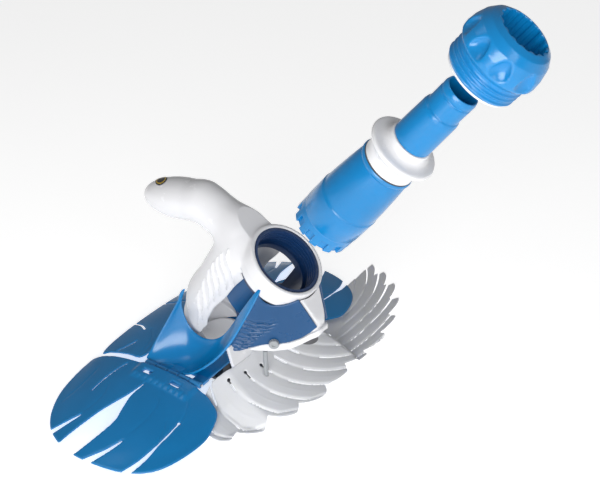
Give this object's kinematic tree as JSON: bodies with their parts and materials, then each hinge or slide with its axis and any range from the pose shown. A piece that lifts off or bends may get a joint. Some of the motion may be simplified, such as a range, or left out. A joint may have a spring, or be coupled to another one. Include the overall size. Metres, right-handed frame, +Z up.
{
  "type": "pool cleaner",
  "caption": "Suction pool cleaner with float-nose head, hinged blue wings, white finned skirt, and its cassette and hand nut drawn out along the bore",
  "frame": {"origin": "on the floor, on the sole's front land, in the middle plane", "axes": "+Z up, front (open end of the bore) toward -Y, float nose toward +Y, +X to the right of someone who stands in front and looks along +Y"},
  "size_m": [0.5643, 0.5267, 0.5125],
  "materials": {
    "white_shell": "satin moulded",
    "blue_shell": "glossy moulded",
    "navy_plastic": "satin moulded",
    "white_fin": "satin flexible",
    "grey_plastic": "moulded",
    "badge": "printed film",
    "foam": "closed-cell foam",
    "black_rubber": "moulded",
    "navy_rubber": "moulded",
    "steel": "stainless",
    "ballast": "coated"
  },
  "bodies": {
    "head": {"head_shell": "white_shell", "float_foam": "foam", "nose_badge": "badge", "bore_liner": "navy_plastic", "liner_seal": "black_rubber", "hull_shell": "white_shell", "side_panel_left": "navy_plastic", "side_panel_right": "navy_plastic", "trim_knobs": "grey_plastic", "ballast_weight": "ballast", "saddle": "blue_shell", "throat_duct": "navy_plastic", "sole_plate": "black_rubber", "sole_screws": "steel", "tail_skirt": "blue_shell", "hinge_pin_left": "steel", "hinge_pin_right": "steel", "finned_skirt": "white_fin", "skirt_studs": "grey_plastic"},
    "wing_left": {"wing_left": "blue_shell"},
    "wing_right": {"wing_right": "blue_shell"},
    "cassette": {"cassette_cage": "blue_shell", "barrel": "blue_shell", "barrel_seal": "black_rubber", "diaphragm": "navy_rubber", "diaphragm_ring": "grey_plastic", "compression_ring": "grey_plastic", "swivel_collar": "white_shell"},
    "spout": {"spout_tube": "blue_shell", "spout_circlip": "steel"},
    "washer": {"slip_washer": "white_fin"},
    "nut": {"hand_nut": "blue_shell"}
  },
  "joints": [
    {"name": "wing_left_flap", "type": "hinge", "parent": "head", "child": "wing_left", "pos_m": [-0.1, 0.047, 0.032], "axis": [0, 1, 0], "range_deg": [0, 24]},
    {"name": "wing_right_flap", "type": "hinge", "parent": "head", "child": "wing_right", "pos_m": [0.1, 0.047, 0.032], "axis": [0, -1, 0], "range_deg": [0, 24]},
    {"name": "cassette_slide", "type": "slide", "parent": "head", "child": "cassette", "axis": [0, 0.6428, -0.766], "range_m": [0, 0.2529]},
    {"name": "spout_swivel", "type": "hinge", "parent": "cassette", "child": "spout", "pos_m": [0, -0.20963, 0.35736], "axis": [0, -0.6428, 0.766], "continuous": true},
    {"name": "washer_slide", "type": "slide", "parent": "cassette", "child": "washer", "axis": [0, 0.6428, -0.766], "range_m": [0, 0.1099]},
    {"name": "nut_turn", "type": "hinge", "parent": "washer", "child": "nut", "pos_m": [0, -0.28419, 0.44622], "axis": [0, -0.6428, 0.766], "continuous": true}
  ]
}
